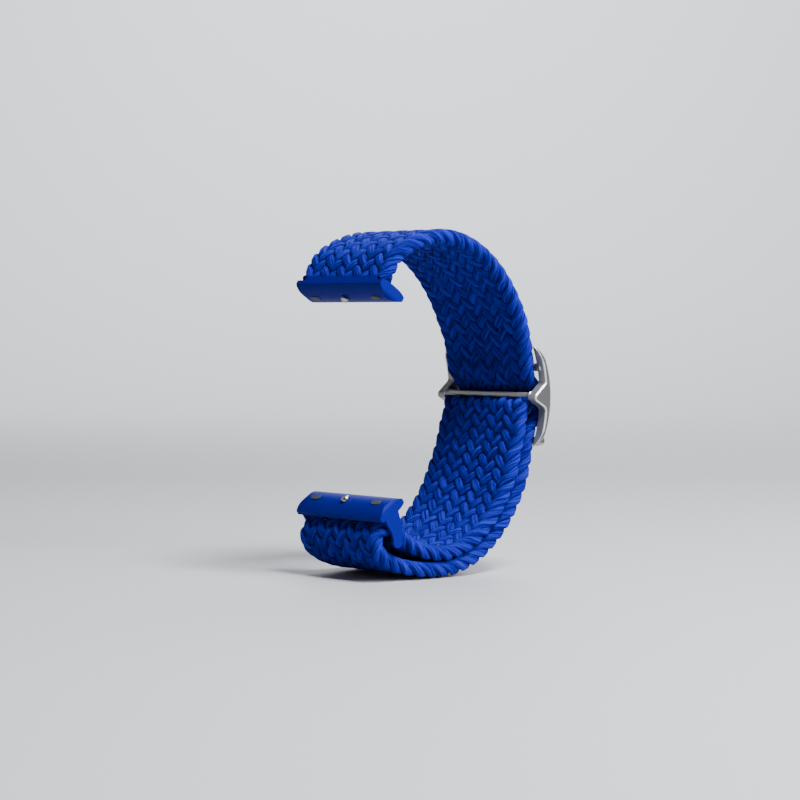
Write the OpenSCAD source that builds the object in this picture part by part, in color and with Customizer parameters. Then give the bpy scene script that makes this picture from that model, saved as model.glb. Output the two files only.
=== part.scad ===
// Adjustable braided watch strap, closed into a loop.
// X runs across the band, -Y faces the dial side, +Y the buckle side, and Z is up.
// Shapes are laid out about the loop's own axis and moved to the part's frame by in_frame().

/* [Band] */
// Width of the braided band
band_w = 23.6; // [20:0.2:24]
// Thickness of the braid where it lies free
band_t = 2.8; // [2.2:0.1:3.2]
// Thickness of the braid where the slider nips it
nip_t = 2.3; // [1.8:0.1:2.6]
// Gap between the two layers of the band
layer_gap = 0.15; // [0.1:0.05:0.5]
// How much narrower the band is in the fold round the lug bar
fold_pinch = 0.8; // [0.6:0.1:1.2]

/* [Loop] */
// Height of the closed loop, outside the band
loop_h = 65.4; // [62:0.2:72]
// Reach of the loop's outside from its axis to the back
back_reach = 24.8; // [23:0.2:28]
// Reach of the loop's outside from its axis to the upper front
front_reach = 23.9; // [22:0.2:26]

/* [Lugs] */
// Width of a rail's lens section, tip to tip
rail_w = 6.4; // [5.8:0.1:7]
// Bulge of a rail's inner face from its chord
rail_in = 1.7; // [1.5:0.05:1.9]
// Bulge of a rail's outer face from its chord
rail_out = 1.2; // [1:0.05:1.4]
// Distance between the two rails
rail_span = 40.6; // [38:0.2:44]
// Height of the middle between the rails above the loop's lowest point
rail_mid_z = 33.5; // [32:0.1:35]
// Distance of the rails from the loop's axis towards the front
rail_y = 13.6; // [12.5:0.1:14.5]
// Slope of each rail's chord
rail_tilt = 33; // [28:1:38]
// Distance from the lower rail to the bar that the band folds round
arm_l = 6; // [5.8:0.1:6.6]
// Lean of the lower lug's arms towards the back
arm_lean = 13.5; // [8:0.5:16]
// Thickness of each arm across the band
arm_t = 0.6; // [0.5:0.05:0.8]
// Gap between the fold and each arm
arm_gap = 0.25; // [0.2:0.05:0.4]
// How far the fold bulges to the front of the bar
fold_slack = 1.2; // [0:0.1:1.4]
// Radius of the lug bar
bar_r = 0.7; // [0.6:0.05:0.8]
// Wall of the arm round the lug bar
boss_wall = 0.4; // [0.35:0.05:0.6]
// Length of the upper lug's tongue inside the band
tongue_l = 5; // [4:0.5:7]
// Thickness of the tongue
tongue_t = 0.9; // [0.7:0.1:1.1]
// Radius of each retaining pin
retainer_r = 0.4; // [0.3:0.05:0.5]

/* [Latch] */
// Radius of the latch stud
stud_r = 0.8; // [0.6:0.05:0.9]
// How far the stud stands out of the rail
stud_out = 0.7; // [0.6:0.05:0.9]
// Travel of the stud when it is pressed in
stud_travel = 0.6; // [0.4:0.05:0.6]
// Wire thickness of the latch spring
wire_d = 0.25; // [0.15:0.05:0.3]
// Turns of the latch spring
spring_turns = 3; // [2:1:3]

/* [Slider] */
// Outer radius of each crescent flange
flange_r = 19.2; // [18.8:0.1:19.6]
// Radius of the crescent's hollow side
hollow_r = 26.3; // [25.5:0.1:27]
// Width of the crescent at its middle
crescent_w = 1.3; // [1.1:0.05:1.5]
// Thickness of each flange across the band
flange_t = 2; // [1.8:0.1:2.4]
// Radius of each flange's outer face as it curves in to its tips
tip_round = 5; // [4:0.25:6]
// Thickness left at the flange's tips
tip_t = 0.35; // [0.3:0.05:0.6]
// Thickness of the flange's cheek beside the band
cheek_t = 0.8; // [0.7:0.1:1]
// How far the cheek stands out behind the crescent
cheek_out = 0.9; // [0.8:0.1:1]
// How far the flange stands proud of the band's outside
flange_proud = 0.9; // [0.6:0.1:1.1]
// Height of each flange from tip to tip
flange_h = 19.3; // [18:0.1:19.6]
// Height of the flange's middle above the loop's axis
flange_rise = 0.75; // [0:0.25:1.5]
// Reach of the flange's nose inward from the crescent's back
nose_reach = 4.3; // [4:0.1:4.5]
// Radius of the fillets at the nose's root
fillet_r = 1; // [0.6:0.1:1.4]
// Width of the thin inner bar
inner_bar_w = 0.8; // [0.7:0.05:0.9]
// Height of the thin inner bar
inner_bar_h = 1; // [0.9:0.05:1.1]
// Thickness of each outer bar
outer_bar_t = 0.9; // [0.8:0.1:1]
// Height of each outer bar
outer_bar_h = 1.6; // [1.4:0.1:1.8]
// Distance of each outer bar from the middle of the band's bulge
outer_bar_z = 7.1; // [7:0.1:7.4]
// Depth that the outer bars press into the band's curve
nip = 0.3; // [0.2:0.05:0.5]
// Radius of the anchor pin
anchor_r = 0.4; // [0.35:0.05:0.45]
// Thickness of the pressed end tab
tab_t = 0.6; // [0.5:0.05:0.7]
// Travel of the slider each way along the band
slider_travel = 6; // [3:0.5:6]

/* [Hidden] */

band_blue = [0.05, 0.2, 0.72];
lug_blue = [0.06, 0.25, 0.75];
steel = [0.72, 0.72, 0.74];
pad_grey = [0.2, 0.22, 0.26];

fit = 0.02;
soft_gap = 0.3;
round_fn = 64;

// The loop: quarter ellipses about its axis, outside of the band
axis_z = loop_h / 2;
mid = band_t / 2;
function ellipse_a(t) = cos(t) < 0 ? front_reach : back_reach;
function on_loop(t) = [ellipse_a(t) * cos(t), axis_z + axis_z * sin(t)];
function normal_at(t) = unit([axis_z * cos(t), ellipse_a(t) * sin(t)]);
function inside_loop(t, depth) = on_loop(t) - depth * normal_at(t);
function unit(v) = v / norm(v);
function heading(a) = [cos(a), sin(a)];
function turn_left(v) = [-v[1], v[0]];
function ease(x) = let(c = min(1, max(0, x))) c * c * (3 - 2 * c);
function steps(from, to, n) = [for (i = [0:n]) from + (to - from) * i / n];
function bezier(p, q, r, s, u) =
    pow(1 - u, 3) * p + 3 * u * pow(1 - u, 2) * q + 3 * u * u * (1 - u) * r + u * u * u * s;
// A height above the loop's axis as the ellipse's angle
function angle_of(h) = asin(h / axis_z);

// Where the band changes from fixed runs to stretches that give as the slider moves
bend_h = 10.5;
run_h = bend_h + slider_travel + 0.6;

// The slider's places, measured from the loop's rearmost point
back_y = back_reach;
flange_z = axis_z + flange_rise;
flange_back = back_y + flange_proud;
flange_y = flange_back - flange_r;
hollow_y = flange_back - crescent_w - hollow_r;
flange_x = band_w / 2 + soft_gap;
nose_r = 0.85;
nose_y = flange_back - nose_reach + nose_r;
nose_z = axis_z + 0.6;
nose_lean = 5.5;
nose_swing = 34.5;
nose_l = 4.2;
anchor_y = nose_y + 1.5;
anchor_z = nose_z - 1.05;
tab_r = anchor_r + 0.1;
inner_bar_y = nose_y;
inner_bar_z = nose_z + 0.4;

// A smooth hump, 1 at 0 and nothing beyond 1 each way
function hump(x) = abs(x) < 1 ? (1 + cos(180 * x)) / 2 : 0;

// The running band swells outward over the anchor, and the outer bars press it in again
bulge_z = anchor_z - 0.3;
bulge_l = 7;
nip_l = 4.2;
thin_l = 5;
bulge = (anchor_y + tab_r + tab_t + layer_gap + nip_t / 2 - back_y + mid) / hump(1 / bulge_l);
function above_bulge(t) = axis_z + axis_z * sin(t) - bulge_z;
function bulge_at(t) = let(h = above_bulge(t)) cos(t) > 0
    ? bulge * hump(h / bulge_l) - nip * hump((abs(h) - outer_bar_z) / nip_l) : 0;
function outer_mid(t) = inside_loop(t, mid - bulge_at(t));
function outer_normal(t) = -turn_left(unit(outer_mid(t + 0.5) - outer_mid(t - 0.5)));
function outer_t(t) = let(h = abs(above_bulge(t)))
    cos(t) > 0 ? nip_t + (band_t - nip_t) * ease((h - bulge_l) / thin_l) : band_t;

// The inner layer lies on the outer one, thins under the lower bar and rises to the anchor
end_z = 0.1;
rise_from = -8.5;
rise_l = 7.5;
inner_depth = mid + band_t + layer_gap;
end_depth = back_y - (anchor_y - tab_r - tab_t + 0.2 - mid);
function inner_depth_at(t) = let(h = axis_z * sin(t), u = (above_bulge(t) + outer_bar_z) / nip_l)
    cos(t) > 0 ? inner_depth - (inner_depth - end_depth) * ease((h - rise_from) / rise_l)
        + (nip - (band_t - nip_t)) * hump(u) : inner_depth;
function inner_mid(t) = inside_loop(t, inner_depth_at(t));
function inner_normal(t) = turn_left(unit(inner_mid(t + 0.5) - inner_mid(t - 0.5)));
function inner_t(t) = cos(t) > 0
    ? band_t - (band_t - nip_t) * hump((above_bulge(t) + outer_bar_z) / nip_l) : band_t;

// The arms stand beside the fold, and each rail is as long as the lower lug is wide
arm_x = (band_w - fold_pinch) / 2 + arm_gap;
rail_l = 2 * (arm_x + arm_t);

// The rails, and the bar that carries the fold
upper_rail = [-rail_y, rail_mid_z + rail_span / 2];
lower_rail = [-rail_y, rail_mid_z - rail_span / 2];
fold_centre = lower_rail - arm_l * heading(90 + arm_lean);
fold_r = bar_r + soft_gap + mid;
fold_from = 210;
fold_to = 40;
function on_fold(a) = fold_centre + fold_r * heading(a) - (a > 90 ? [fold_slack, 0] : [0, 0]);
function clockwise(a) = [sin(a), -cos(a)];

// The upper lug's neck and tongue, in its rail's own frame
neck_s = -1.75;
neck_w = 2.7;
neck_l = band_w - 3;
neck_top = rail_out + 0.05;
tongue_w = band_w - 7;
upper_out = heading(90 - rail_tilt);
upper_along = heading(-rail_tilt);
band_start = upper_rail + neck_s * upper_along + neck_top * upper_out;

// The routes of the band, as places in the Y-Z plane
start_t = 116;
loop_foot = -90;
join_t = -84;
function start_curve(u) = let(e = inside_loop(start_t, mid), d = -turn_left(normal_at(start_t)))
    bezier(band_start, band_start + 2.4 * upper_out, e - 2.4 * d, e, u);
function front_curve(u) = let(s = inside_loop(loop_foot, mid), e = on_fold(fold_from))
    bezier(s, s + [-7, 0], e - 3.5 * clockwise(fold_from), e, u);
function inner_curve(u) = let(s = on_fold(fold_to), e = inner_mid(join_t))
    bezier(s, s + 4 * clockwise(fold_to), e - 4.5 * turn_left(normal_at(join_t)), e, u);

top_route = concat([for (u = steps(0, 1, 6)) start_curve(u)],
    [for (t = steps(start_t, angle_of(run_h), 40)) if (t < start_t) outer_mid(t)]);
outer_route = concat([for (t = steps(angle_of(-run_h), loop_foot, 24)) outer_mid(t)],
    [for (u = steps(0, 1, 12)) if (u > 0) front_curve(u)]);
fold_route = concat([for (a = steps(fold_from, 91, 13)) on_fold(a)],
    [for (a = steps(90, fold_to, 8)) on_fold(a)]);
inner_route = concat([for (u = steps(0, 1, 10)) inner_curve(u)],
    [for (t = steps(join_t, angle_of(-run_h), 24)) if (t > join_t) inner_mid(t)]);

// The band narrows in the fold, within pinch_near of the lug bar and back to full width pinch_l on
pinch_near = 4.5;
pinch_l = 6;
function width_at(p) = band_w - fold_pinch * (1 - ease((norm(p - fold_centre) - pinch_near) / pinch_l));

// One ring of the band's section, with rounded edges, across the route at a place
edge_steps = 4;
edge_r = 0.8;
function section(w, t) = let(r = min(edge_r, t / 2)) [for (side = [1, -1]) for (k = [0:edge_steps])
    let(a = -90 + 180 * k / edge_steps)
    [side * (w / 2 - r + cos(a) * r), side * (sin(a) * r + sign(sin(a)) * (t / 2 - r))]];
function route_normal(p, i) = turn_left(unit(p[i + 1] - p[i - 1]));
function ring(at, up, w, t) = [for (s = section(w, t)) [s[0], at[0] + s[1] * up[0], at[1] + s[1] * up[1]]];

// A band of the given thicknesses along a route, as one closed solid with its two end faces
// square to the given directions, narrower than the braid by the given inset
module band(route, thick, first_up, last_up, inset = 0) {
    n = len(route);
    m = 2 * (edge_steps + 1);
    function up(i) = i == 0 ? first_up : i == n - 1 ? last_up : route_normal(route, i);
    points = [for (i = [0:n - 1])
        each ring(route[i], up(i), width_at(route[i]) - inset, thick[i])];
    sides = [for (i = [0:n - 2]) for (k = [0:m - 1]) let(a = i * m + k, b = i * m + (k + 1) % m)
        each [[a, b, b + m], [a, b + m, a + m]]];
    first = [for (k = [1:m - 2]) [0, k + 1, k]];
    last = [for (k = [1:m - 2]) [(n - 1) * m, (n - 1) * m + k, (n - 1) * m + k + 1]];
    polyhedron(points = points, faces = concat(sides, first, last));
}

module in_frame() {
    translate([0, -frame_y, -frame_z]) children();
}

// A flat shape in the Y-Z plane, drawn out across the band
module across(from, to) {
    translate([from, 0, 0]) rotate([90, 0, 90]) linear_extrude(to - from) children();
}

// A bar along X at a place in the Y-Z plane
module rod(at, r, from, to) {
    translate([from, at[0], at[1]]) rotate([0, 90, 0]) cylinder(r = r, h = to - from, $fn = round_fn);
}

module rounded_bar(w, h, r) {
    square([w - 2 * r, h], center = true);
    square([w, h - 2 * r], center = true);
    for (y = [-1, 1]) for (z = [-1, 1])
        translate([y * (w / 2 - r), z * (h / 2 - r)]) circle(r, $fn = 24);
}

// Band

bend_steps = 40;
function between(h1, h2, n) = steps(angle_of(h1), angle_of(h2), n);
module outer_layer(t) {
    color(band_blue) in_frame() band([for (a = t) outer_mid(a)], [for (a = t) outer_t(a)],
        outer_normal(t[0]), outer_normal(t[len(t) - 1]));
}

module inner_layer(t) {
    band([for (a = t) inner_mid(a)], [for (a = t) inner_t(a)],
        inner_normal(t[0]), inner_normal(t[len(t) - 1]));
}

module free_band(route, first_up, last_up) {
    band(route, [for (p = route) band_t], first_up, last_up);
}

module band_top_run() {
    color(band_blue) in_frame() difference() {
        free_band(top_route, turn_left(upper_out), outer_normal(angle_of(run_h)));
        at_upper_rail() tongue(fit);
        at_upper_rail() retainers(fit);
    }
}

module band_top_slack() {
    outer_layer(between(run_h, bend_h + soft_gap, 4));
}

module band_slider_bend() {
    outer_layer(between(bend_h, -bend_h, bend_steps));
}

module band_outer_slack() {
    outer_layer(between(-bend_h - soft_gap, -run_h, 4));
}

module band_outer_run() {
    color(band_blue) in_frame() free_band(outer_route, outer_normal(angle_of(-run_h)), heading(fold_from));
}

module band_lug_fold() {
    color(band_blue) in_frame() free_band(fold_route, heading(fold_from), heading(fold_to));
}

module band_inner_run() {
    color(band_blue) in_frame() free_band(inner_route, heading(fold_to), inner_normal(angle_of(-run_h)));
}

module band_inner_slack() {
    color(band_blue) in_frame() inner_layer(between(-run_h, -bend_h - soft_gap, 4));
}

// The fixed end stops just under the thin inner bar, pressed thinner over its last stretch. Its
// tab leaves its back, goes over the anchor pin and comes down on the outside of the inner layer.
press_l = 1.2;
press_t = 1.7;
tab_inset = 2;
tab_tail = 3;
roll_r = tab_r + tab_t / 2;
roll_from = 200;
roll_to = -36;
function on_roll(a) = [anchor_y, anchor_z] + roll_r * heading(a);
function pressed(t) = ease((axis_z * sin(t) - end_z + press_l) / press_l);
function end_t(t) = inner_t(t) - (inner_t(t) - press_t) * pressed(t);
function end_mid(t) = inner_mid(t) - (inner_t(t) - end_t(t)) / 2 * inner_normal(t);
module band_end_fold() {
    t = between(-bend_h, end_z, 18);
    tail_t = angle_of(end_z - tab_tail);
    tail = inner_mid(tail_t) + [inner_t(tail_t) / 2 + tab_t / 2 - soft_edge, 0];
    tab = concat([for (a = steps(roll_from, roll_to, 19)) on_roll(a)], [tail]);
    color(band_blue) in_frame() union() {
        band([for (a = t) end_mid(a)], [for (a = t) end_t(a)],
            inner_normal(t[0]), inner_normal(t[len(t) - 1]));
        band(tab, [for (p = tab) tab_t], heading(roll_from), [1, 0], tab_inset);
    }
}

// Slider

module crescent(grow) {
    intersection() {
        translate([flange_y, flange_z]) circle(flange_r - grow, $fn = 128);
        union() {
            difference() {
                translate([flange_y, flange_z]) circle(flange_r, $fn = 128);
                translate([hollow_y, flange_z]) circle(hollow_r + grow, $fn = 128);
            }
            nose(grow);
            for (side = [-1, 1]) nose_fillet(side, grow);
        }
        translate([flange_y, flange_z]) square([3 * flange_r, flange_h - grow], center = true);
    }
}

// The nose narrows from the crescent to a round tip that carries the inner bar
module nose(grow) {
    root_r = nose_r + nose_l * sin(nose_swing) - grow;
    tip_r = nose_r - grow;
    tip = [nose_y, nose_z];
    root = tip + nose_l * heading(nose_lean);
    up = heading(nose_lean + 90 + nose_swing);
    down = heading(nose_lean - 90 - nose_swing);
    translate(tip) circle(tip_r, $fn = 48);
    translate(root) circle(root_r, $fn = 96);
    polygon([tip + tip_r * up, tip + tip_r * down, root + root_r * down, root + root_r * up]);
}

// A fillet between a flank of the nose and the crescent's hollow side
module nose_fillet(side, grow) {
    hollow = [hollow_y, flange_z];
    across_flank = heading(nose_lean + side * (90 + nose_swing));
    along_flank = heading(nose_lean + side * nose_swing);
    q = [nose_y, nose_z] + (nose_r + fillet_r) * across_flank - hollow;
    reach = -q * along_flank + sqrt(pow(q * along_flank, 2) - q * q + pow(hollow_r - fillet_r, 2));
    centre = hollow + q + reach * along_flank;
    r = fillet_r + grow;
    a = -across_flank;
    b = unit(centre - hollow);
    corner = centre + 1.1 * r * (a + b) / (1 + a * b);
    difference() {
        polygon([centre, centre + r * a, corner, centre + 1.1 * r * b]);
        translate(centre) circle(r, $fn = 64);
    }
}

// Each outer bar lies along the band's outside
function bar_angle(side) = angle_of(bulge_z - axis_z + side * outer_bar_z);
function bar_at(side) = let(t = bar_angle(side))
    outer_mid(t) + (outer_t(t) / 2 + soft_gap + outer_bar_t / 2) * outer_normal(t);

module outer_bar(side) {
    n = outer_normal(bar_angle(side));
    translate(bar_at(side)) rotate(atan2(n[1], n[0])) rounded_bar(outer_bar_t, outer_bar_h, 0.4);
}

// The cheek widens the flange beside the band, in an arc through both outer bars
module cheek() {
    cheek_y = flange_back + cheek_out;
    low = bar_at(-1);
    high = bar_at(1);
    rise = cheek_y - (low[0] + high[0]) / 2;
    half = (high[1] - low[1]) / 2;
    cheek_r = (half * half + rise * rise) / (2 * rise);
    intersection() {
        difference() {
            translate([cheek_y - cheek_r, (low[1] + high[1]) / 2]) circle(cheek_r, $fn = 128);
            translate([hollow_y, flange_z]) circle(hollow_r, $fn = 128);
        }
        translate([back_y, flange_z]) square([2 * flange_r, flange_h], center = true);
    }
    for (at = [low, high]) translate(at) circle(outer_bar_h / 2 + 0.1, $fn = 48);
}

// Seen from the back, the flanges' outer faces curve in to their tips
module bow() {
    spare = tip_round - flange_t + tip_t;
    rise = tip_round - sqrt(tip_round * tip_round - spare * spare);
    w = 2 * (flange_x + flange_t);
    h = flange_h + 2 * rise;
    translate([0, 2 * flange_back, flange_z]) rotate([90, 0, 0]) linear_extrude(2 * flange_back) {
        square([w - 2 * tip_round, h], center = true);
        square([w, h - 2 * tip_round], center = true);
        for (x = [-1, 1]) for (z = [-1, 1])
            translate([x * (w / 2 - tip_round), z * (h / 2 - tip_round)]) circle(tip_round, $fn = 128);
    }
}

// One flange: crescent and nose with softened outer edges, on a cheek
soft_edge = 0.18;
module flange() {
    face_x = flange_x + flange_t - soft_edge;
    difference() {
        intersection() {
            union() {
                across(flange_x, face_x) crescent(0);
                across(face_x, face_x + soft_edge / 2) crescent(soft_edge / 3);
                across(face_x + soft_edge / 2, flange_x + flange_t) crescent(soft_edge);
                across(flange_x, flange_x + cheek_t) cheek();
            }
            bow();
        }
        rod([anchor_y, anchor_z], anchor_r + fit, 0, flange_x + flange_t / 2 + fit);
    }
}

module slider_frame() {
    reach = flange_x + 0.6;
    flare = 1.2;
    color(steel) in_frame() union() {
        for (side = [0, 1]) mirror([side, 0, 0]) {
            flange();
            translate([flange_x - flare, inner_bar_y, inner_bar_z]) rotate([0, 90, 0])
                cylinder(r1 = inner_bar_w / 2, r2 = inner_bar_w / 2 + 0.35, h = flare, $fn = 32);
        }
        across(-reach, reach) translate([inner_bar_y, inner_bar_z])
            rounded_bar(inner_bar_w, inner_bar_h, 0.3);
        for (side = [-1, 1]) across(-reach, reach) outer_bar(side);
    }
}

module anchor_pin() {
    half = flange_x + flange_t / 2;
    color(steel) in_frame() rod([anchor_y, anchor_z], anchor_r, -half, half);
}

// Lugs: each is drawn in its rail's frame, with the chord along Y and the outer face towards +Z

module at_upper_rail() {
    translate([0, upper_rail[0], upper_rail[1]]) rotate([-rail_tilt, 0, 0]) children();
}

module at_lower_rail() {
    translate([0, lower_rail[0], lower_rail[1]]) rotate([rail_tilt, 0, 0]) mirror([0, 0, 1]) children();
}

// The lens is two arcs, cut off square just short of their tips
tip_cut = 0.5;
function arc_r(bulge) = let(c = rail_w / 2 + tip_cut) (c * c + bulge * bulge) / (2 * bulge);

module rail() {
    corner = 0.9;
    intersection() {
        across(-rail_l / 2, rail_l / 2) intersection() {
            translate([0, rail_out - arc_r(rail_out)]) circle(arc_r(rail_out), $fn = 128);
            translate([0, arc_r(rail_in) - rail_in]) circle(arc_r(rail_in), $fn = 128);
            square([rail_w, 2 * rail_w], center = true);
        }
        rotate([90, 0, 0]) linear_extrude(2 * rail_w, center = true)
            translate([0, (rail_out - rail_in) / 2])
            rounded_bar(rail_l, rail_in + rail_out, corner);
    }
}

// Latch: a stud through the inner face, pushed out by a spring that a pressed cap holds
mouth_t = 0.5;
collar_r = stud_r + 0.3;
collar_t = 0.4;
cap_t = 0.45;
well_r = collar_r + 0.05;
cap_top = rail_out - 0.03;
spring_from = -rail_in + mouth_t + collar_t;
spring_to = cap_top - cap_t;

module latch_well() {
    translate([0, 0, -rail_in + mouth_t]) cylinder(r = well_r, h = 2 * rail_in, $fn = round_fn);
    translate([0, 0, -2 * rail_in]) cylinder(r = stud_r + 0.05, h = 2 * rail_in, $fn = round_fn);
}

// The stud's head stands clear of the rail, on a thinner neck
module latch_stud() {
    tip = 0.25;
    head_gap = 0.07;
    neck_r = stud_r - 0.2;
    translate([0, 0, -rail_in - stud_out + tip])
        cylinder(r = stud_r, h = stud_out - tip - head_gap, $fn = round_fn);
    translate([0, 0, -rail_in - head_gap])
        cylinder(r = neck_r, h = head_gap + mouth_t + collar_t / 2, $fn = round_fn);
    translate([0, 0, -rail_in - stud_out]) cylinder(r1 = stud_r - tip, r2 = stud_r, h = tip, $fn = round_fn);
    translate([0, 0, -rail_in + mouth_t]) cylinder(r = collar_r, h = collar_t, $fn = round_fn);
}

module latch_cap() {
    translate([0, 0, cap_top - cap_t]) cylinder(r = well_r, h = cap_t, $fn = round_fn);
}

// The spring is one helix of round wire
wire_sides = 6;
ring_steps = 8;
module latch_spring() {
    coil_r = collar_r - 0.1 - wire_d / 2;
    rise = spring_to - spring_from - wire_d - 0.04;
    n = spring_turns * ring_steps;
    function wire_ring(i) = let(a = 360 * i / ring_steps, z = spring_from + 0.02 + wire_d / 2 + rise * i / n)
        [for (k = [0:wire_sides - 1]) let(b = 360 * k / wire_sides, r = coil_r + cos(b) * wire_d / 2)
            [r * cos(a), r * sin(a), z + sin(b) * wire_d / 2]];
    m = wire_sides;
    points = [for (i = [0:n]) each wire_ring(i)];
    sides = [for (i = [0:n - 1]) for (k = [0:m - 1]) let(a = i * m + k, b = i * m + (k + 1) % m)
        each [[a, b + m, b], [a, a + m, b + m]]];
    first = [for (k = [1:m - 2]) [0, k, k + 1]];
    last = [for (k = [1:m - 2]) [n * m, n * m + k + 1, n * m + k]];
    polyhedron(points = points, faces = concat(sides, first, last));
}

// Side pads: small oblong cushions let into the inner face near each end
pad_x = rail_l / 2 - 3.5;
pad_l = 2.4;
pad_w = 1.2;
pad_out = 0.12;
pad_in = 0.5;
module pad_shape(grow) {
    translate([-pad_l / 2 + pad_w / 2, 0]) circle(pad_w / 2 + grow, $fn = 32);
    translate([pad_l / 2 - pad_w / 2, 0]) circle(pad_w / 2 + grow, $fn = 32);
    square([pad_l - pad_w, pad_w + 2 * grow], center = true);
}

module pads(grow) {
    for (side = [-1, 1]) translate([side * pad_x, 0, -rail_in - pad_out])
        linear_extrude(pad_out + pad_in + grow) pad_shape(grow);
}

module tongue(grow) {
    translate([-tongue_w / 2 - grow, neck_s - tongue_t / 2 - grow, 0])
        cube([tongue_w + 2 * grow, tongue_t + 2 * grow, neck_top + tongue_l + grow]);
}

module retainers(grow) {
    reach = tongue_t / 2 + 0.25;
    for (side = [-1:1]) translate([side * tongue_w / 3, neck_s - reach - grow, neck_top + tongue_l * 0.55])
        rotate([-90, 0, 0]) cylinder(r = retainer_r + grow, h = 2 * reach + 2 * grow, $fn = 32);
}

module upper_lug() {
    color(lug_blue) in_frame() at_upper_rail() difference() {
        union() {
            rail();
            translate([-neck_l / 2, neck_s - neck_w / 2, 0]) cube([neck_l, neck_w, neck_top]);
            tongue(0);
        }
        latch_well();
        pads(fit);
        retainers(fit);
    }
}

module upper_retaining_pins() {
    color(steel) in_frame() at_upper_rail() retainers(0);
}

module upper_lug_pads() {
    color(pad_grey) in_frame() at_upper_rail() pads(0);
}

module upper_latch_stud() {
    color(steel) in_frame() at_upper_rail() latch_stud();
}

module upper_latch_spring() {
    color(steel) in_frame() at_upper_rail() latch_spring();
}

module upper_latch_cap() {
    color(steel) in_frame() at_upper_rail() latch_cap();
}

// The arms: curved fins from the rail's ends down to the bar, which sits in a blind seat in each
boss_r = bar_r + boss_wall;
bar_half = arm_x + arm_t / 2;
module arm_shape() {
    chord = heading(rail_tilt);
    front_top = lower_rail - 2.1 * chord;
    back_top = lower_rail + 1.5 * chord;
    front_end = fold_centre - [boss_r, 0];
    back_end = fold_centre + [boss_r, 0];
    front_pull = [0.1, 2];
    back_pull = [0.5, 2.6];
    top_pull = [0.2, -1.7];
    polygon(concat(
        [for (u = steps(0, 1, 8)) bezier(front_top, front_top + top_pull, front_end + front_pull, front_end, u)],
        [for (u = steps(1, 0, 8)) bezier(back_top, back_top + top_pull, back_end + back_pull, back_end, u)]));
    translate(fold_centre) circle(boss_r, $fn = round_fn);
}

module lower_lug() {
    color(lug_blue) in_frame() difference() {
        union() {
            at_lower_rail() rail();
            for (side = [0, 1]) mirror([side, 0, 0]) across(arm_x, arm_x + arm_t) arm_shape();
        }
        at_lower_rail() latch_well();
        at_lower_rail() pads(fit);
        rod(fold_centre, bar_r + fit, -bar_half - fit, bar_half + fit);
    }
}

module lug_bar() {
    color(steel) in_frame() rod(fold_centre, bar_r, -bar_half, bar_half);
}

module lower_lug_pads() {
    color(pad_grey) in_frame() at_lower_rail() pads(0);
}

module lower_latch_stud() {
    color(steel) in_frame() at_lower_rail() latch_stud();
}

module lower_latch_spring() {
    color(steel) in_frame() at_lower_rail() latch_spring();
}

module lower_latch_cap() {
    color(steel) in_frame() at_lower_rail() latch_cap();
}

// The part's frame: the middle of its depth, and the lowest point of the band
band_back = max([for (t = between(bend_h, -bend_h, bend_steps))
    (outer_mid(t) + outer_t(t) / 2 * outer_normal(t))[0]]);
band_front = min([for (p = fold_route) p[0]]) - mid;
frame_y = (band_back + band_front) / 2;
frame_z = 0;

band_top_run();
band_top_slack();
band_slider_bend();
band_outer_slack();
band_outer_run();
band_lug_fold();
band_inner_run();
band_inner_slack();
band_end_fold();
slider_frame();
anchor_pin();
upper_lug();
upper_retaining_pins();
upper_lug_pads();
upper_latch_stud();
upper_latch_spring();
upper_latch_cap();
lower_lug();
lug_bar();
lower_lug_pads();
lower_latch_stud();
lower_latch_spring();
lower_latch_cap();
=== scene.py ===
"""Looks for the braided watch strap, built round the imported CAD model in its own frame."""
import math

import bpy
import numpy as np
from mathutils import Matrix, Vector


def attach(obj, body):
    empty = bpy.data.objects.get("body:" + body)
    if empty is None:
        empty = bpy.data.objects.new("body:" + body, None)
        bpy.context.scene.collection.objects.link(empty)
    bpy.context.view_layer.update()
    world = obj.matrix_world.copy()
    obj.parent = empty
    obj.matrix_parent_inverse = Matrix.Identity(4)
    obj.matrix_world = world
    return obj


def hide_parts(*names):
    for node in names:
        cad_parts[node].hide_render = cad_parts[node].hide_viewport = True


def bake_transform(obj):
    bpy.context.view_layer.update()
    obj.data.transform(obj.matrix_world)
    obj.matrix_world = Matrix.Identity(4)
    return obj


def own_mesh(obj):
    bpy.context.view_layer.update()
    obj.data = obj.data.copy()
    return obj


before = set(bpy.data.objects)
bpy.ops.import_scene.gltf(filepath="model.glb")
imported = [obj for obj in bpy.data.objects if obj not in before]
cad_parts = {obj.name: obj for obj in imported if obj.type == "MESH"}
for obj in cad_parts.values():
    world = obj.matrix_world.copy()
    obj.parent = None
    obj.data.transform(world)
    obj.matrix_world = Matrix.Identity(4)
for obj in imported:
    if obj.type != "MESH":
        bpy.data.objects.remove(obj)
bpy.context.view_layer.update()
MM = 0.001

# Sizes in millimetres, the same as in the construction source
BAND_W = 23.6
BAND_T = 2.8
NIP_T = 2.3
LAYER_GAP = 0.15
SOFT_GAP = 0.3
LOOP_H = 65.4
BACK_REACH = 24.8
FRONT_REACH = 23.9
RAIL_MID_Z = 33.5
RAIL_SPAN = 40.6
RAIL_Y = 13.6
RAIL_TILT = 33.0
RAIL_IN = 1.7
RAIL_OUT = 1.2
ARM_L = 6.0
ARM_LEAN = 13.5
FOLD_SLACK = 1.2
BAR_R = 0.7
FLANGE_PROUD = 0.9
NOSE_REACH = 4.3
NOSE_R = 0.85
ANCHOR_R = 0.4
TAB_T = 0.6
NIP = 0.3
OUTER_BAR_Z = 7.1
BEND_H = 10.5
PRESS_L = 1.2
PRESS_T = 1.7
TAB_INSET = 2.0
TAB_TAIL = 3.0
SOFT_EDGE = 0.18
STUD_R = 0.8
WIRE_D = 0.25
SPRING_TURNS = 3
AXIS_Z = LOOP_H / 2
MID = BAND_T / 2

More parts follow.
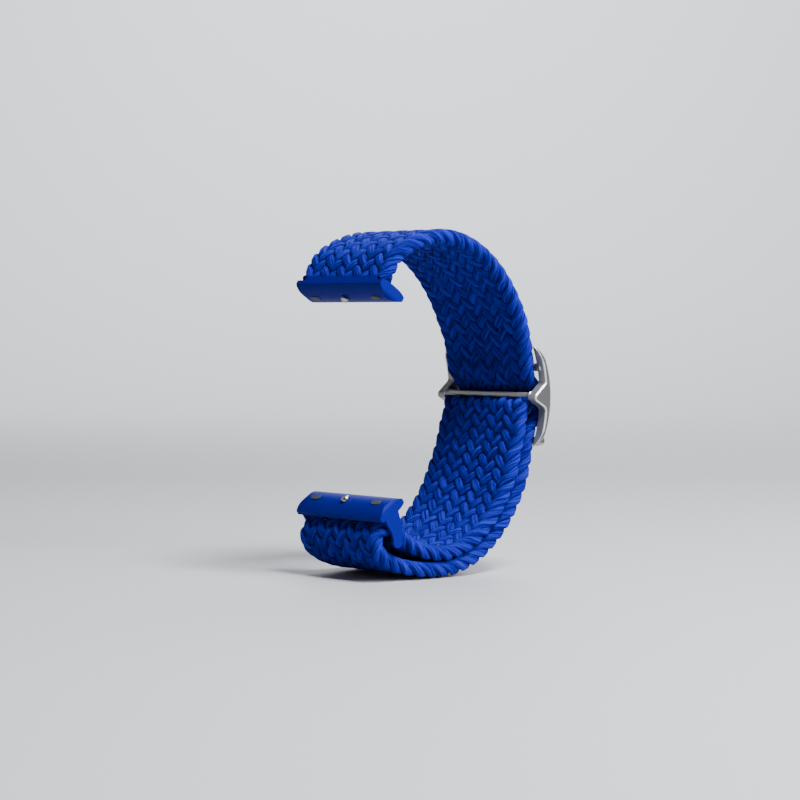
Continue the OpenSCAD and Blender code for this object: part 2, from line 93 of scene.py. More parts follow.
# How far the frame's zero lies behind the loop's axis, which the source works out
FRAME_Y = 5.11748

# The slider's nose, the anchor pin behind and below it, and the tab round that pin
NOSE_Y = BACK_REACH + FLANGE_PROUD - NOSE_REACH + NOSE_R
NOSE_Z = AXIS_Z + 0.6
ANCHOR = (NOSE_Y + 1.5, NOSE_Z - 1.05)
TAB_R = ANCHOR_R + 0.1

# The band bulges out over the pin and is thinner there, and the outer bars nip it
BULGE_Z = ANCHOR[1] - 0.3
BULGE_L = 7.0
NIP_L = 4.2
THIN_L = 5.0

# The inner layer rises to the pin from this height over the axis, and its end laps into the tab
RISE_FROM = -8.5
RISE_L = 7.5
END_Z = 0.1
END_LAP = 0.2

# Half widths at the edge strands' outermost points: where the band is free, between the slider's
# flanges, at the slider's middle, and between the lower lug's arms
REACH_FREE = 12.4
REACH_FLANGES = 12.0
REACH_MIDDLE = 11.6
REACH_FORK = 11.36

# Each holds up to this distance from the slider or the lug bar, and fades out over the next
FLANGES_NEAR = 12.0
FLANGES_FADE = 4.0
MIDDLE_NEAR = 4.5
MIDDLE_FADE = 2.5
FORK_NEAR = 4.8
FORK_FADE = 5.0

# Past the upper lug the braid lies further forward than the solids do, most at the peak, and at
# the other end it stops this much short of them
START_SHIFT = 0.7
START_PEAK = 6.0
START_L = 14.0
END_TRIM = 0.35


def sind(a):
    return math.sin(math.radians(a))


def cosd(a):
    return math.cos(math.radians(a))


def heading(a):
    return np.array([cosd(a), sind(a)])


def unit(v):
    return v / np.linalg.norm(v)


def turn_left(v):
    return np.array([-v[1], v[0]])


def hump(x):
    return (1 + math.cos(math.pi * x)) / 2 if abs(x) < 1 else 0.0


def ease(x):
    c = np.clip(x, 0, 1)
    return c * c * (3 - 2 * c)


def bezier(p, q, r, s, u):
    return (1 - u) ** 3 * p + 3 * u * (1 - u) ** 2 * q + 3 * u * u * (1 - u) * r + u**3 * s


def unit_rows(vectors):
    return vectors / np.linalg.norm(vectors, axis=1)[:, None]


def lengths_along(places):
    """How far each of the places on a line is from the first, along the line."""
    return np.concatenate([[0], np.cumsum(np.linalg.norm(np.diff(places, axis=0), axis=1))])


def angle_of(h):
    return math.degrees(math.asin(h / AXIS_Z))


# The band's middle line, from the upper lug round to its fixed end
def inside_loop(t, depth):
    a = FRONT_REACH if cosd(t) < 0 else BACK_REACH
    place = np.array([a * cosd(t), AXIS_Z + AXIS_Z * sind(t)])
    return place - depth * unit(np.array([AXIS_Z * cosd(t), a * sind(t)]))


def above_bulge(t):
    return AXIS_Z + AXIS_Z * sind(t) - BULGE_Z


BULGE = (ANCHOR[0] + TAB_R + TAB_T + LAYER_GAP + NIP_T / 2 - BACK_REACH + MID) / hump(1 / BULGE_L)


def outer_mid(t):
    if cosd(t) <= 0:
        return inside_loop(t, MID)
    h = above_bulge(t)
    return inside_loop(t, MID - BULGE * hump(h / BULGE_L) + NIP * hump((abs(h) - OUTER_BAR_Z) / NIP_L))


def outer_t(t):
    if cosd(t) <= 0:
        return BAND_T
    return NIP_T + (BAND_T - NIP_T) * ease((abs(above_bulge(t)) - BULGE_L) / THIN_L)


INNER_DEPTH = MID + BAND_T + LAYER_GAP
END_DEPTH = BACK_REACH - (ANCHOR[0] - TAB_R - TAB_T + END_LAP - MID)


def inner_mid(t):
    if cosd(t) <= 0:
        return inside_loop(t, INNER_DEPTH)
    rise = ease((AXIS_Z * sind(t) - RISE_FROM) / RISE_L)
    nip = (NIP - (BAND_T - NIP_T)) * hump((above_bulge(t) + OUTER_BAR_Z) / NIP_L)
    return inside_loop(t, INNER_DEPTH - (INNER_DEPTH - END_DEPTH) * rise + nip)


def inner_t(t):
    if cosd(t) <= 0:
        return BAND_T
    return BAND_T - (BAND_T - NIP_T) * hump((above_bulge(t) + OUTER_BAR_Z) / NIP_L)


def inner_normal(t):
    return turn_left(unit(inner_mid(t + 0.5) - inner_mid(t - 0.5)))


def end_t(t):
    pressed = ease((AXIS_Z * sind(t) - END_Z + PRESS_L) / PRESS_L)
    return inner_t(t) - (inner_t(t) - PRESS_T) * pressed


def end_mid(t):
    return inner_mid(t) - (inner_t(t) - end_t(t)) / 2 * inner_normal(t)


UPPER_RAIL = np.array([-RAIL_Y, RAIL_MID_Z + RAIL_SPAN / 2])
LOWER_RAIL = np.array([-RAIL_Y, RAIL_MID_Z - RAIL_SPAN / 2])
UPPER_OUT = heading(90 - RAIL_TILT)
NECK_S = -1.75
NECK_TOP = RAIL_OUT + 0.05
BAND_START = UPPER_RAIL + NECK_S * heading(-RAIL_TILT) + NECK_TOP * UPPER_OUT
FOLD_CENTRE = LOWER_RAIL - ARM_L * heading(90 + ARM_LEAN)
FOLD_R = BAR_R + SOFT_GAP + MID
FOLD_FROM = 210
FOLD_TO = 40
START_T = 116
LOOP_FOOT = -90
JOIN_T = -84

# Lengths of the handles at both ends of each curve: to the loop, to the fold and out of the fold
START_HANDLE = 2.4
FOOT_HANDLE = 7.0
FOLD_HANDLE = 3.5
OUT_HANDLE = 4.0
JOIN_HANDLE = 4.5

# Numbers of points on those curves, on the long runs, on the slider's bend and on each short turn
CURVE_POINTS = 60
RUN_POINTS = 400
BEND_POINTS = 300
TURN_POINTS = 200


def on_fold(a):
    return FOLD_CENTRE + FOLD_R * heading(a) - (np.array([FOLD_SLACK, 0]) if a > 90 else 0)


def clockwise(a):
    return np.array([sind(a), -cosd(a)])


def loop_direction(t, a):
    """Direction along the loop at an angle of its ellipse, anticlockwise, where a is its depth there."""
    return turn_left(unit(np.array([AXIS_Z * cosd(t), a * sind(t)])))


def band_line():
    """Points of the middle line with the band's thickness there, and where each run ends."""
    line, marks = [], {}

    def add(points, name=None):
        line.extend(points)
        if name:
            marks[name] = len(line) - 1

    def curve(p, q, r, s, us):
        return [(bezier(p, q, r, s, u), BAND_T) for u in us]

    def run(mid_at, t_at, a, b, n):
        return [(mid_at(t), t_at(t)) for t in np.linspace(a, b, n)[1:]]

    us = np.linspace(0, 1, CURVE_POINTS)
    high, low = angle_of(BEND_H), angle_of(-BEND_H)
    s, e = BAND_START, inside_loop(START_T, MID)
    d = -loop_direction(START_T, FRONT_REACH)
    add(curve(s, s + START_HANDLE * UPPER_OUT, e - START_HANDLE * d, e, us))
    add(run(outer_mid, outer_t, START_T, high, RUN_POINTS), "top")
    add(run(outer_mid, outer_t, high, low, BEND_POINTS), "bend")
    add(run(outer_mid, outer_t, low, LOOP_FOOT, RUN_POINTS))
    s, e = inside_loop(LOOP_FOOT, MID), on_fold(FOLD_FROM)
    c = e - FOLD_HANDLE * clockwise(FOLD_FROM)
    add(curve(s, s - np.array([FOOT_HANDLE, 0]), c, e, us[1:]), "outer")
    add([(on_fold(a), BAND_T) for a in np.linspace(FOLD_FROM, FOLD_TO, TURN_POINTS)[1:]], "fold")
    s, e = on_fold(FOLD_TO), inner_mid(JOIN_T)
    d = loop_direction(JOIN_T, BACK_REACH)
    add(curve(s, s + OUT_HANDLE * clockwise(FOLD_TO), e - JOIN_HANDLE * d, e, us[1:]))
    add(run(inner_mid, inner_t, JOIN_T, low, RUN_POINTS), "inner")
    add(run(end_mid, end_t, low, angle_of(END_Z), TURN_POINTS), "end")
    return np.array([p for p, t in line]), np.array([t for p, t in line]), marks


places, thick, marks = band_line()
along = lengths_along(places)
ends = {name: along[i] for name, i in marks.items()}
length = along[-1]

# An even copy of the line, whose direction is lightly smoothed so that it changes without kinks
GRID_STEP = 0.1
SMOOTH_ROUNDS = 12
grid = np.linspace(0, length, int(length / GRID_STEP))
line_y = np.interp(grid, along, places[:, 0])
line_z = np.interp(grid, along, places[:, 1])
line_t = np.interp(grid, along, thick)
line_y -= START_SHIFT * (ease(grid / START_PEAK) * (1 - ease((grid - START_PEAK) / (START_L - START_PEAK))))
from_bar = np.hypot(line_y - FOLD_CENTRE[0], line_z - FOLD_CENTRE[1])
from_slider = np.hypot(line_y - BACK_REACH, line_z - AXIS_Z)


def fork_reach(d):
    return REACH_FORK + (REACH_FREE - REACH_FORK) * ease((d - FORK_NEAR) / FORK_FADE)


def slider_reach(d):
    inside = REACH_MIDDLE + (REACH_FLANGES - REACH_MIDDLE) * ease((d - MIDDLE_NEAR) / MIDDLE_FADE)
    return inside + (REACH_FREE - REACH_FLANGES) * ease((d - FLANGES_NEAR) / FLANGES_FADE)


line_reach = np.minimum(fork_reach(from_bar), slider_reach(from_slider))


def smooth(values, rounds):
    for _ in range(rounds):
        values[1:-1] = (values[:-2] + 2 * values[1:-1] + values[2:]) / 4
    return values


normal_y = smooth(-np.gradient(line_z), SMOOTH_ROUNDS)
normal_z = smooth(np.gradient(line_y), SMOOTH_ROUNDS)
size = np.hypot(normal_y, normal_z)
normal_y, normal_z = normal_y / size, normal_z / size


def in_frame(x, y, z):
    """Places about the loop's axis, in millimetres, as places in the part's frame, in metres."""
    return np.stack([x, y - FRAME_Y, z], axis=-1) * MM


def on_band(s, x, h):
    """Places in the frame at length s along the band, x across it and h above its middle."""
    y = np.interp(s, grid, line_y) + h * np.interp(s, grid, normal_y)
    z = np.interp(s, grid, line_z) + h * np.interp(s, grid, normal_z)
    return in_frame(x, y, z)


# The braid: a flat braid of 21 strands, over two and under two
STRANDS = 21
COLUMN = 1.14
PITCH = 2.7
U_LEN = PITCH / 2
TIP = STRANDS * COLUMN / 2
EDGE_ROUND = 0.62
LIFT = 0.76
FLATTEN = 0.13
TURN_SPAN = 1.6
STRAND_W = 0.89
STRAND_T = 0.62
FULLNESS = 0.65
EDGE_SWELL = 0.12
EDGE_SLIM = 0.2
STREAK_SHIFT = 3.7
SIDES = 14
PER_U = 8


def edge_place(u):
    """Signed distance to the nearest turn at an edge, in columns, and which edge it is."""
    k = np.round(u / STRANDS)
    return u - k * STRANDS, k % 2 == 1


def across_band(u):
    d, right = edge_place(u)
    x = TIP - COLUMN * np.sqrt(d * d + EDGE_ROUND * EDGE_ROUND)
    return np.where(right, x, -x)


def wave(u):
    """Height of a strand above the band's middle: flat-topped floats with quick dives between them."""
    v = np.mod(u, STRANDS)
    inner = np.clip(v, 1, STRANDS - 1)
    a = np.radians(90 * (inner - 0.5) + 45 * (v - inner))
    return (np.sin(a) + FLATTEN * np.sin(3 * a)) / (1 - FLATTEN)


def roll(u):
    """How far the strand's flat side has turned from the band's face, in radians."""
    d, right = edge_place(u)
    turn = math.pi * (ease((d + TURN_SPAN) / (2 * TURN_SPAN)) - 1)
    return np.where(right, -turn, turn)


def fuller(c):
    """A cosine or sine of a section's angle, changed so that the section fills more than an ellipse."""
    return np.sign(c) * np.abs(c) ** FULLNESS


def strand_mesh(number):
    """Places along the band and rings of vertices for one strand over the whole band."""
    s = np.linspace(0, length, int(length / U_LEN * PER_U))
    u = (length - s) / U_LEN + 2 * number
    d, _ = edge_place(u)
    scale = np.interp(s, grid, line_t) / BAND_T
    reach = np.interp(s, grid, line_reach)
    edge_t = STRAND_T * (1 + EDGE_SWELL) * scale
    x = across_band(u) * (reach - edge_t) / (TIP - COLUMN * EDGE_ROUND)
    centre = on_band(s, x, LIFT * wave(u) * scale)
    tangent = unit_rows(np.gradient(centre, axis=0))
    up = np.stack([0 * s, np.interp(s, grid, normal_y), np.interp(s, grid, normal_z)], axis=1)
    up = unit_rows(up - np.sum(up * tangent, axis=1)[:, None] * tangent)
    side = np.cross(tangent, up)
    turn = roll(u)[:, None]
    thin = np.cos(turn) * up + np.sin(turn) * side
    wide = np.cross(tangent, thin)
    half_t = STRAND_T * scale * (1 + EDGE_SWELL * np.exp(-d * d)) * MM
    half_w = STRAND_W * (1 - EDGE_SLIM * np.exp(-d * d / 2)) * reach / REACH_FREE * MM
    angles = np.linspace(0, 2 * math.pi, SIDES, endpoint=False)[None, :, None]
    ring = (
        centre[:, None, :]
        + fuller(np.cos(angles)) * wide[:, None, :] * half_w[:, None, None]
        + fuller(np.sin(angles)) * thin[:, None, :] * half_t[:, None, None]
    )
    return s, ring


def build_mesh(name, verts, faces, uvs=None):
    mesh = bpy.data.meshes.new(name)
    mesh.vertices.add(len(verts))
    mesh.vertices.foreach_set("co", np.asarray(verts, np.float32).ravel())
    faces = np.asarray(faces, np.int32)
    mesh.loops.add(faces.size)
    mesh.loops.foreach_set("vertex_index", faces.ravel())
    mesh.polygons.add(len(faces))
    mesh.polygons.foreach_set("loop_start", np.arange(0, faces.size, faces.shape[1], dtype=np.int32))
    mesh.update(calc_edges=True)
    mesh.polygons.foreach_set("use_smooth", np.ones(len(faces), bool))
    if uvs is not None:
        layer = mesh.uv_layers.new(name="thread")
        layer.data.foreach_set("uv", np.asarray(uvs, np.float32)[faces.ravel()].ravel())
    obj = bpy.data.objects.new(name, mesh)
    bpy.context.scene.collection.objects.link(obj)
    return obj


def cap(base, count, flip):
    """Quads that close a ring of an even count of vertices, numbered from base on."""
    k = np.arange(count // 2 - 1)
    quads = base + np.stack([k, k + 1, count - 2 - k, count - 1 - k], axis=1)
    return quads[:, ::-1] if flip else quads


def closed_tube(rings, count, flip):
    """Quads of a tube of rings, an even count of vertices in each, and of both its ends."""
    start = np.arange(rings - 1)[:, None] * count
    i = (start + np.arange(count)[None, :]).ravel()
    j = (start + (np.arange(count)[None, :] + 1) % count).ravel()
    second, last = (i + count, j) if flip else (j, i + count)
    sides = np.stack([i, second, j + count, last], axis=1)
    return np.concatenate([sides, cap(0, count, not flip), cap((rings - 1) * count, count, flip)])


def braid_piece(name, s0, s1, strands):
    """All strands from one length along the band to another, each of them closed at both ends."""
    verts, faces, uvs = [], [], []
    base = 0
    for number, (s, ring) in enumerate(strands):
        lo = np.searchsorted(s, s0)
        hi = min(len(s) - 1, np.searchsorted(s, s1))
        part = ring[lo:hi + 1]
        run = s[lo:hi + 1]
        n, m = part.shape[:2]
        shift = number * STREAK_SHIFT
        # Each ring's first vertex comes again as its last, so that the streaks run all round
        verts.append(np.concatenate([part, part[:, :1]], axis=1).reshape(-1, 3))
        around = np.tile(np.linspace(0, 1, m + 1) + shift, n)
        uvs.append(np.stack([np.repeat(run, m + 1), around], axis=1))
        i = np.arange(n - 1)[:, None] * (m + 1) + np.arange(m)[None, :]
        a = base + i.ravel()
        faces.append(np.stack([a, a + 1, a + m + 2, a + m + 1], axis=1))
        base += n * (m + 1)
        for end, flip in ((0, True), (n - 1, False)):
            verts.append(part[end])
            uvs.append(np.stack([np.full(m, run[end]), np.full(m, shift)], axis=1))
            faces.append(cap(base, m, flip))
            base += m
    return build_mesh(name, np.concatenate(verts), np.concatenate(faces), np.concatenate(uvs))


def material(name, colour, roughness, metallic=0.0):
    mat = bpy.data.materials.new(name)
    mat.use_nodes = True
    shader = mat.node_tree.nodes["Principled BSDF"]
    shader.inputs["Base Color"].default_value = (*colour, 1)
    shader.inputs["Roughness"].default_value = roughness
    shader.inputs["Metallic"].default_value = metallic
    return mat, mat.node_tree, shader


def yarn_material(name, dark, light, streak):
    """Dull yarn of parallel filaments: fine streaks along each strand in colour and bump."""
    mat, tree, shader = material(name, light, 0.5)
    nodes, links = tree.nodes, tree.links
    shader.inputs["Sheen Weight"].default_value = 0.05
    shader.inputs["Sheen Roughness"].default_value = 0.35
    shader.inputs["Sheen Tint"].default_value = (0.1, 0.3, 1.0, 1)
    shader.inputs["Specular IOR Level"].default_value = 0.015
    shader.inputs["Specular Tint"].default_value = (0.05, 0.25, 1.0, 1)
    uv = nodes.new("ShaderNodeUVMap")
    uv.uv_map = "thread"

    def streaks(along, around, detail):
        stretch = nodes.new("ShaderNodeMapping")
        stretch.inputs["Scale"].default_value = (along, around, 1)
        links.new(uv.outputs["UV"], stretch.inputs["Vector"])
        noise = nodes.new("ShaderNodeTexNoise")
        noise.inputs["Scale"].default_value = 1.0
        noise.inputs["Detail"].default_value = detail
        noise.inputs["Roughness"].default_value = 0.65
        links.new(stretch.outputs["Vector"], noise.inputs["Vector"])
        return noise.outputs["Fac"]

    plies = streaks(0.12, 0.55 * streak, 1)
    fibres = streaks(0.5, 1.6 * streak, 5)
    both = nodes.new("ShaderNodeMath")
    both.operation = "MULTIPLY_ADD"
    both.inputs[1].default_value = 0.5
    links.new(plies, both.inputs[0])
    half = nodes.new("ShaderNodeMath")
    half.operation = "MULTIPLY"
    half.inputs[1].default_value = 0.5
    links.new(fibres, half.inputs[0])
    links.new(half.outputs["Value"], both.inputs[2])
    height = both.outputs["Value"]
    ramp = nodes.new("ShaderNodeValToRGB")
    ramp.color_ramp.elements[0].position = 0.42
    ramp.color_ramp.elements[0].color = (*dark, 1)
    ramp.color_ramp.elements[1].position = 0.58
    ramp.color_ramp.elements[1].color = (*light, 1)
    links.new(height, ramp.inputs["Fac"])
    links.new(ramp.outputs["Color"], shader.inputs["Base Color"])
    bump = nodes.new("ShaderNodeBump")
    bump.inputs["Strength"].default_value = 0.9
    bump.inputs["Distance"].default_value = 0.0006
    links.new(height, bump.inputs["Height"])
    links.new(bump.outputs["Normal"], shader.inputs["Normal"])
    return mat


def satin_material(name, colour, roughness, metallic, grain, bump_size, edge):
    """Satin surface with a fine grain; its sharp edges shade as if softened by the given radius."""
    mat, tree, shader = material(name, colour, roughness, metallic)
    nodes, links = tree.nodes, tree.links
    where = nodes.new("ShaderNodeTexCoord")
    noise = nodes.new("ShaderNodeTexNoise")
    noise.inputs["Scale"].default_value = grain
    noise.inputs["Detail"].default_value = 3
    links.new(where.outputs["Object"], noise.inputs["Vector"])
    spread = nodes.new("ShaderNodeMapRange")
    spread.inputs["To Min"].default_value = roughness - 0.05
    spread.inputs["To Max"].default_value = roughness + 0.06
    links.new(noise.outputs["Fac"], spread.inputs["Value"])
    links.new(spread.outputs["Result"], shader.inputs["Roughness"])
    soft = nodes.new("ShaderNodeBevel")
    soft.samples = 6
    soft.inputs["Radius"].default_value = edge * MM
    bump = nodes.new("ShaderNodeBump")
    bump.inputs["Strength"].default_value = 0.15
    bump.inputs["Distance"].default_value = bump_size * MM
    links.new(soft.outputs["Normal"], bump.inputs["Normal"])
    links.new(noise.outputs["Fac"], bump.inputs["Height"])
    links.new(bump.outputs["Normal"], shader.inputs["Normal"])
    return mat


def casting_material(name, side, wall, polished, **surface):
    """Satin casting with painted light in its colour: flat sides (facing its own X) painted darker as shade,
    lighter walls, and a painted highlight along its sharp edges.
    """
    mat = satin_material(name, wall, **surface)
    nodes, links = mat.node_tree.nodes, mat.node_tree.links
    shader = nodes["Principled BSDF"]

    def ramp(factor, a, b):
        node = nodes.new("ShaderNodeValToRGB")
        for element, (position, colour) in zip(node.color_ramp.elements, (a, b)):
            element.position = position
            element.color = (*colour, 1)
        links.new(factor, node.inputs["Fac"])
        return node

    where = nodes.new("ShaderNodeTexCoord")
    split = nodes.new("ShaderNodeSeparateXYZ")
    links.new(where.outputs["Normal"], split.inputs["Vector"])
    flatness = nodes.new("ShaderNodeMath")
    flatness.operation = "ABSOLUTE"
    links.new(split.outputs["X"], flatness.inputs[0])
    # Painted shade: faces that point along the part's X take the darker side colour, the walls the lighter
    # wall colour
    faces = ramp(flatness.outputs["Value"], (0.7, wall), (0.95, side))
    face = nodes.new("ShaderNodeNewGeometry")
    turned = nodes.new("ShaderNodeVectorMath")
    turned.operation = "DOT_PRODUCT"
    links.new(nodes["Bevel"].outputs["Normal"], turned.inputs[0])
    links.new(face.outputs["Normal"], turned.inputs[1])
    # Painted highlight: a bright colour laid on wherever the bevel's normal turns away from the face's, that
    # is along every sharp edge
    edges = ramp(turned.outputs["Value"], (0.9, (1, 1, 1)), (0.99, (0, 0, 0)))
    both = nodes.new("ShaderNodeMix")
    both.data_type = "RGBA"
    # Of the sockets named A, B and Result, those for colours
    ground, edge = both.inputs[6:8]
    result = both.outputs[2]
    edge.default_value = (*polished, 1)
    links.new(edges.outputs["Color"], both.inputs["Factor"])
    links.new(faces.outputs["Color"], ground)
    links.new(result, shader.inputs["Base Color"])
    return mat


yarn = yarn_material("yarn", dark=(0.0012, 0.002, 0.095), light=(0.016, 0.02, 0.35), streak=26)
pressed_yarn = yarn_material("pressed_yarn", dark=(0.001, 0.009, 0.12), light=(0.004, 0.03, 0.3), streak=3)
# The slider's steel: flat sides painted darker as shade, and a painted highlight colour along its edges
steel = casting_material(
    "slider_satin_steel", side=(0.09, 0.09, 0.088), wall=(0.25, 0.25, 0.246), polished=(0.9, 0.9, 0.89),
    roughness=0.34, metallic=0.55, grain=900, bump_size=0.01, edge=0.3,
)
pin_steel = satin_material(
    "pin_steel", (0.4, 0.4, 0.4), roughness=0.28, metallic=1.0, grain=1200, bump_size=0.01, edge=0.05
)
lug_blue = satin_material(
    "lug_satin_blue", (0.0, 0.002, 0.14), roughness=0.45, metallic=0.0, grain=1500, bump_size=0.01, edge=0.12
)
lug_shader = lug_blue.node_tree.nodes["Principled BSDF"]
lug_shader.inputs["Specular IOR Level"].default_value = 0.05
pad_rubber = satin_material(
    "pad_rubber", (0.02, 0.024, 0.035), roughness=0.6, metallic=0.0, grain=800, bump_size=0.02, edge=0.05
)

CAD_LOOKS = {
    "slider_frame": steel,
    "anchor_pin": pin_steel,
    "upper_lug": lug_blue,
    "upper_retaining_pins": pin_steel,
    "upper_lug_pads": pad_rubber,
    "upper_latch_stud": pin_steel,
    "upper_latch_cap": lug_blue,
    "lower_lug": lug_blue,
    "lug_bar": pin_steel,
    "lower_lug_pads": pad_rubber,
    "lower_latch_stud": pin_steel,
    "lower_latch_cap": lug_blue,
}
for node, look in CAD_LOOKS.items():
    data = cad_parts[node].data
    data.materials.clear()
    data.materials.append(look)

strands = [strand_mesh(i) for i in range(STRANDS)]
REPLACED = {
    "top": ["band_top_run", "band_top_slack"],
    "bend": ["band_slider_bend"],
    "outer": ["band_outer_slack", "band_outer_run"],
    "fold": ["band_lug_fold"],
    "inner": ["band_inner_run", "band_inner_slack"],
    "end": ["band_end_fold"],
}


def at(y, z):
    return (0, (y - FRAME_Y) * MM, z * MM)


# The band's runs begin to follow the slider at these places, and follow it fully from its bend on
TOP_FROM = (12.5, 61.5)
OUTER_FROM = (13.0, 4.0)
INNER_FROM = (9.5, 8.5)
TOP_END = outer_mid(angle_of(BEND_H))
LOW_END = outer_mid(angle_of(-BEND_H))
INNER_END = inner_mid(angle_of(-BEND_H))
BLENDS = {
    "top": ("band", "slider", at(*TOP_FROM), at(*TOP_END)),
    "outer": ("band", "slider", at(*OUTER_FROM), at(*LOW_END)),
    "inner": ("band", "slider", at(*INNER_FROM), at(*INNER_END)),
}
RIDES = {"bend": "slider", "fold": "band", "end": "slider"}

start = 0.0
for name in REPLACED:
    stop = ends[name] - (END_TRIM if name == "end" else 0)
    piece = braid_piece("braid_" + name, start, stop, strands)
    start = ends[name]
    piece.data.materials.append(yarn)
    if name in BLENDS:
        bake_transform(piece)
    else:
        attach(piece, RIDES[name])
    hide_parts(*REPLACED[name])

# The pressed end tab: over the anchor pin and down the outside of the inner layer. Its dimples
# are as deep as this share of half its thickness
DIMPLE = 0.12
ROLL_R = TAB_R + TAB_T / 2
ROLL_FROM = 200
ROLL_TO = -36
TAIL_T = angle_of(END_Z - TAB_TAIL)
ROLL_POINTS = 70
TAIL_POINTS = 30
FLAT_POINTS = 90
ROUND_POINTS = 9


def on_roll(a):
    return np.array(ANCHOR) + ROLL_R * heading(a)


def tab_route():
    """The tab's middle line in the Y-Z plane: round the anchor pin, then straight down its tail."""
    tail = inner_mid(TAIL_T) + np.array([inner_t(TAIL_T) / 2 + TAB_T / 2 - SOFT_EDGE, 0])
    route = [on_roll(a) for a in np.linspace(ROLL_FROM, ROLL_TO, ROLL_POINTS)]
    route += [route[-1] + (tail - route[-1]) * u for u in np.linspace(0, 1, TAIL_POINTS)[1:]]
    return np.array(route)


def tab_section():
    """The outline of the sheet's section with its rounded sides: places across and off its middle."""
    half = (BAND_W - TAB_INSET) / 2
    r = TAB_T / 2
    flat = np.linspace(-half + r, half - r, FLAT_POINTS)
    turn = np.radians(np.linspace(90, -90, ROUND_POINTS)[1:-1])
    side = half - r + r * np.cos(turn)
    x = np.concatenate([flat, side, flat[::-1], -side])
    h = np.concatenate([flat * 0 + r, r * np.sin(turn), flat * 0 - r, -r * np.sin(turn)])
    return x, h


def tab_piece():
    """A sheet along the tab's route, its faces dimpled where the strands cross."""
    route = tab_route()
    run = lengths_along(route)
    tangent = unit_rows(np.gradient(route, axis=0))
    normal = np.stack([-tangent[:, 1], tangent[:, 0]], axis=1)
    x, h = tab_section()
    columns = x[None, :] / (2 * COLUMN)
    rows = run[:, None] / PITCH
    cross = np.sin(2 * math.pi * (columns + rows)) * np.sin(2 * math.pi * (columns - rows))
    lift = h[None, :] * (1 - DIMPLE * (1 + cross) / 2)
    y = route[:, :1] + lift * normal[:, :1]
    z = route[:, 1:] + lift * normal[:, 1:]
    verts = in_frame(np.broadcast_to(x, y.shape), y, z).reshape(-1, 3)
    uvs = np.stack([np.repeat(run, len(x)), np.tile(x, len(route))], axis=1)
    return build_mesh("pressed_end_tab", verts, closed_tube(len(route), len(x), True), uvs)


tab = tab_piece()
tab.data.materials.append(pressed_yarn)
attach(tab, "slider")

# The latch springs: a helix of round wire from the stud's collar to the cap, of one fixed length; the real
# spring shortens as the stud goes in
MOUTH_T = 0.5
COLLAR_R = STUD_R + 0.3
COLLAR_T = 0.4
CAP_T = 0.45
CAP_TOP = RAIL_OUT - 0.03
COIL_R = COLLAR_R - 0.1 - WIRE_D / 2
SPRING_FROM = -RAIL_IN + MOUTH_T + COLLAR_T
SPRING_TO = CAP_TOP - CAP_T
SPRING_GAP = 0.02
TURN_STEPS = 32
WIRE_SIDES = 12


def at_rail(rail, up, points):
    """Places from a rail's own frame, turned outward by its tilt: up is 1 for the upper rail and
    -1 for the lower one, which is mirrored."""
    y = rail[0] + cosd(RAIL_TILT) * points[..., 1] + sind(RAIL_TILT) * points[..., 2]
    z = rail[1] + up * (cosd(RAIL_TILT) * points[..., 2] - sind(RAIL_TILT) * points[..., 1])
    return in_frame(points[..., 0], y, z)


def spring_piece(name, rail, up):
    steps = TURN_STEPS * SPRING_TURNS
    a = np.linspace(0, 2 * math.pi * SPRING_TURNS, steps + 1)[:, None]
    b = np.linspace(0, 2 * math.pi, WIRE_SIDES, endpoint=False)[None, :]
    r = COIL_R + WIRE_D / 2 * np.cos(b)
    low = SPRING_FROM + SPRING_GAP + WIRE_D / 2
    high = SPRING_TO - SPRING_GAP - WIRE_D / 2
    h = low + (high - low) * a / a[-1] + WIRE_D / 2 * np.sin(b)
    points = np.stack([r * np.cos(a), r * np.sin(a), h], axis=-1)
    verts = at_rail(rail, up, points).reshape(-1, 3)
    return build_mesh(name, verts, closed_tube(steps + 1, WIRE_SIDES, up < 0))


for name, body, rail, up in (("upper", "band", UPPER_RAIL, 1.0), ("lower", "lower_lug", LOWER_RAIL, -1.0)):
    spring = spring_piece(name + "_coil_spring", rail, up)
    spring.data.materials.append(pin_steel)
    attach(spring, body)
    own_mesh(spring)
    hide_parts(name + "_latch_spring")

# What the camera aims at and where it stands, as fitted to the photo: degrees, and metres
TARGET = Vector((0, -(1.0 + FRAME_Y) * MM, 33.0 * MM))
CAMERA_AZIMUTH = 48.70
CAMERA_ELEVATION = 2.1
CAMERA_DISTANCE = 0.450
toward = Vector((sind(CAMERA_AZIMUTH), -cosd(CAMERA_AZIMUTH), 0))
sideways = Vector((cosd(CAMERA_AZIMUTH), sind(CAMERA_AZIMUTH), 0))

# A pale floor that sweeps up into a backdrop behind the strap, as the camera sees it, in metres
FLOOR_FRONT = 1.5
FLOOR_SIDES = (-2.5, 2.5)
FLOOR_DROP = 0.0002
SWEEP_START = 0.7
SWEEP_R = 0.8
BACKDROP_TOP = 2.5


def floor_place(distance, height, side):
    return tuple(toward * distance + sideways * side + Vector((0, 0, height)))


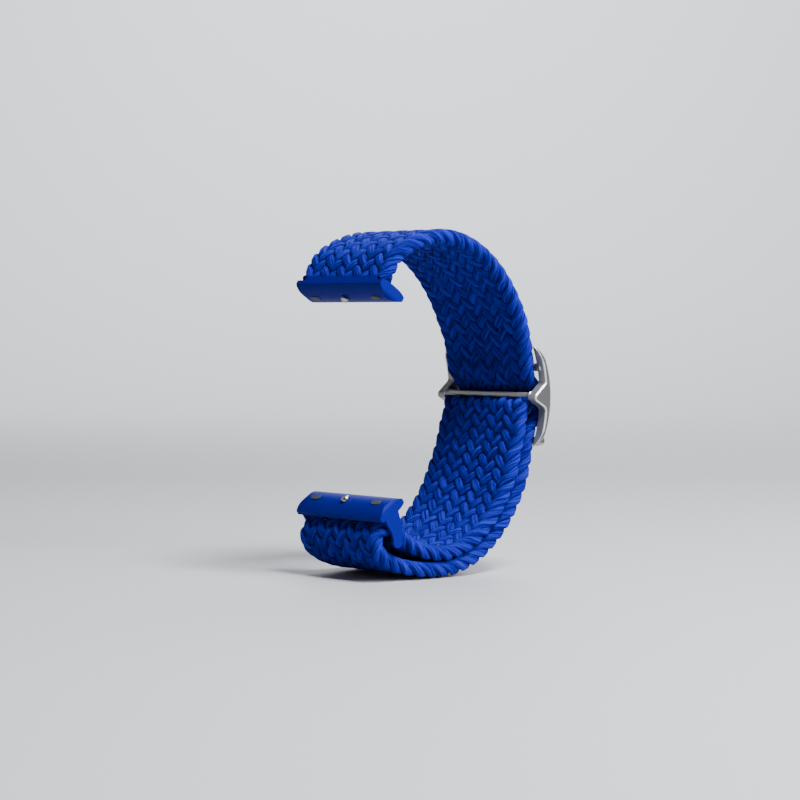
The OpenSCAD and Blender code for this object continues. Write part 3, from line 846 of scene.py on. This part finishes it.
profile = [(FLOOR_FRONT, 0.0), (-SWEEP_START, 0.0)]
profile += [(-SWEEP_START - SWEEP_R * sind(k), SWEEP_R * (1 - cosd(k))) for k in range(3, 88, 3)]
profile += [(-SWEEP_START - SWEEP_R, BACKDROP_TOP)]
floor_verts = [floor_place(d, h, side) for d, h in profile for side in FLOOR_SIDES]
floor_faces = [(2 * k, 2 * k + 1, 2 * k + 3, 2 * k + 2) for k in range(len(profile) - 1)]
floor_mesh = bpy.data.meshes.new("floor")
floor_mesh.from_pydata(floor_verts, [], floor_faces)
floor_mesh.polygons.foreach_set("use_smooth", [True] * len(floor_faces))
floor = bpy.data.objects.new("floor", floor_mesh)
floor.location.z = -FLOOR_DROP
bpy.context.scene.collection.objects.link(floor)
floor_mesh.materials.append(material("pale_floor", (0.36, 0.375, 0.4), 0.6)[0])

world = bpy.data.worlds.new("studio")
world.use_nodes = True
world.node_tree.nodes["Background"].inputs["Color"].default_value = (0.9, 0.94, 1.0, 1)
world.node_tree.nodes["Background"].inputs["Strength"].default_value = 0.04
bpy.context.scene.world = world


def area_light(name, place, width, power, target=TARGET):
    data = bpy.data.lights.new(name, "AREA")
    data.size = width
    data.energy = power
    obj = bpy.data.objects.new(name, data)
    obj.location = place
    obj.rotation_mode = "QUATERNION"
    obj.rotation_quaternion = (target - obj.location).to_track_quat("-Z", "Y")
    bpy.context.scene.collection.objects.link(obj)
    return obj


area_light("key", Vector((0.3, 0.0, 0.55)), 0.2, 9.5)
area_light("side", Vector((0.5, 0.12, 0.25)), 0.25, 5.0)
area_light("back", Vector((-0.2, 0.4, 0.45)), 0.3, 2.0)
area_light("backdrop", -0.75 * toward + Vector((0, 0, 0.9)), 0.8, 36, -1.5 * toward + Vector((0, 0, 0.5)))

# Faint cards for the steel to mirror
area_light("card", Vector((0.38, -0.33, 0.15)), 0.15, 0.12)
area_light("bar_card", Vector((-0.4, -0.35, 0.12)), 0.4, 0.4)

FOCAL_PIXELS = 2356.9
IMAGE_PIXELS = 800
camera_data = bpy.data.cameras.new("camera")
camera_data.sensor_width = 36
camera_data.lens = FOCAL_PIXELS / IMAGE_PIXELS * 36
camera_data.clip_start = 0.01
camera_data.clip_end = 10
camera = bpy.data.objects.new("camera", camera_data)
level = cosd(CAMERA_ELEVATION)
away = Vector((sind(CAMERA_AZIMUTH) * level, -cosd(CAMERA_AZIMUTH) * level, sind(CAMERA_ELEVATION)))
camera.location = TARGET + CAMERA_DISTANCE * away
camera.rotation_mode = "QUATERNION"
camera.rotation_quaternion = (-away).to_track_quat("-Z", "Y")
bpy.context.scene.collection.objects.link(camera)
bpy.context.scene.camera = camera

bpy.context.view_layer.update()
